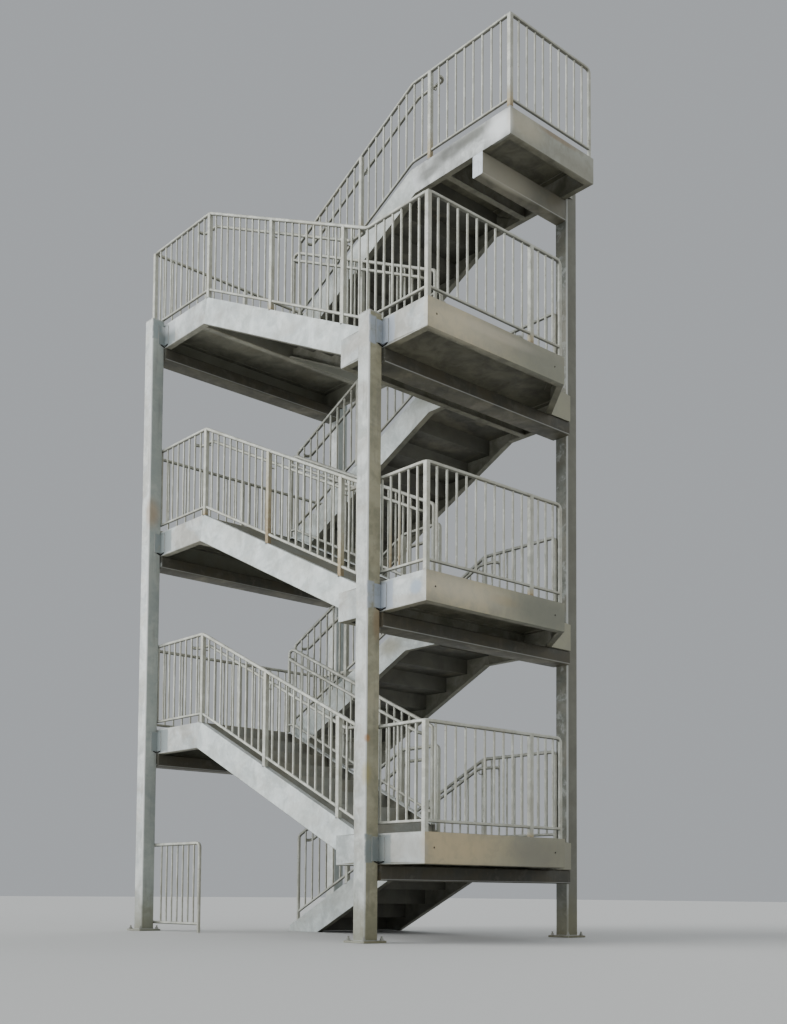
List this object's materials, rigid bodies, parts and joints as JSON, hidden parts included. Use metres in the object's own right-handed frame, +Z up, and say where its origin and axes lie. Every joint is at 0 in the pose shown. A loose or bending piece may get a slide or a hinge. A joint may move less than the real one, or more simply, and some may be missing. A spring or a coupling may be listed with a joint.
{
  "type": "fire escape stair",
  "caption": "Galvanised steel switchback fire escape on four columns, with railed landings, channel stringers and folded plate steps.",
  "frame": {"origin": "on the ground, at the middle of the part's footprint", "axes": "+X along the flights towards the landings' end, +Y from the open lane towards the wall lane, +Z up"},
  "size_m": [5.13, 3.328, 9.9583],
  "materials": {
    "column_steel": "weathered hot-dip galvanised square tube",
    "beam_steel": "weathered hot-dip galvanised tube with brown stains",
    "landing_steel": "weathered hot-dip galvanised channel and plate",
    "stringer_steel": "weathered hot-dip galvanised channel",
    "step_plate": "weathered hot-dip galvanised folded plate",
    "guard_steel": "weathered hot-dip galvanised tube and bar"
  },
  "bodies": {
    "root": {"column_a": "column_steel", "column_b": "column_steel", "column_c": "column_steel", "column_d": "column_steel", "cross_beams_right": "beam_steel", "cross_beams_left": "beam_steel", "top_cross_beam": "beam_steel", "landing_1": "landing_steel", "landing_2": "landing_steel", "landing_3": "landing_steel", "top_landing": "landing_steel", "half_landing_1": "landing_steel", "half_landing_2": "landing_steel", "half_landing_3": "landing_steel", "stringers_1": "stringer_steel", "stringers_2": "stringer_steel", "stringers_3": "stringer_steel", "stringers_4": "stringer_steel", "stringers_5": "stringer_steel", "stringers_6": "stringer_steel", "stringers_7": "stringer_steel", "steps_1": "step_plate", "steps_2": "step_plate", "steps_3": "step_plate", "steps_4": "step_plate", "steps_5": "step_plate", "steps_6": "step_plate", "steps_7": "step_plate", "front_guard_1": "guard_steel", "front_guard_2": "guard_steel", "front_guard_3": "guard_steel", "back_guard_1": "guard_steel", "back_guard_2": "guard_steel", "back_guard_3": "guard_steel", "back_guard_4": "guard_steel", "end_guards": "guard_steel", "side_guards": "guard_steel", "top_side_guard": "guard_steel", "inner_guards_1": "guard_steel", "inner_guards_2": "guard_steel", "inner_guards_3": "guard_steel", "inner_guards_4": "guard_steel", "ground_guard": "guard_steel"}
  },
  "joints": []
}
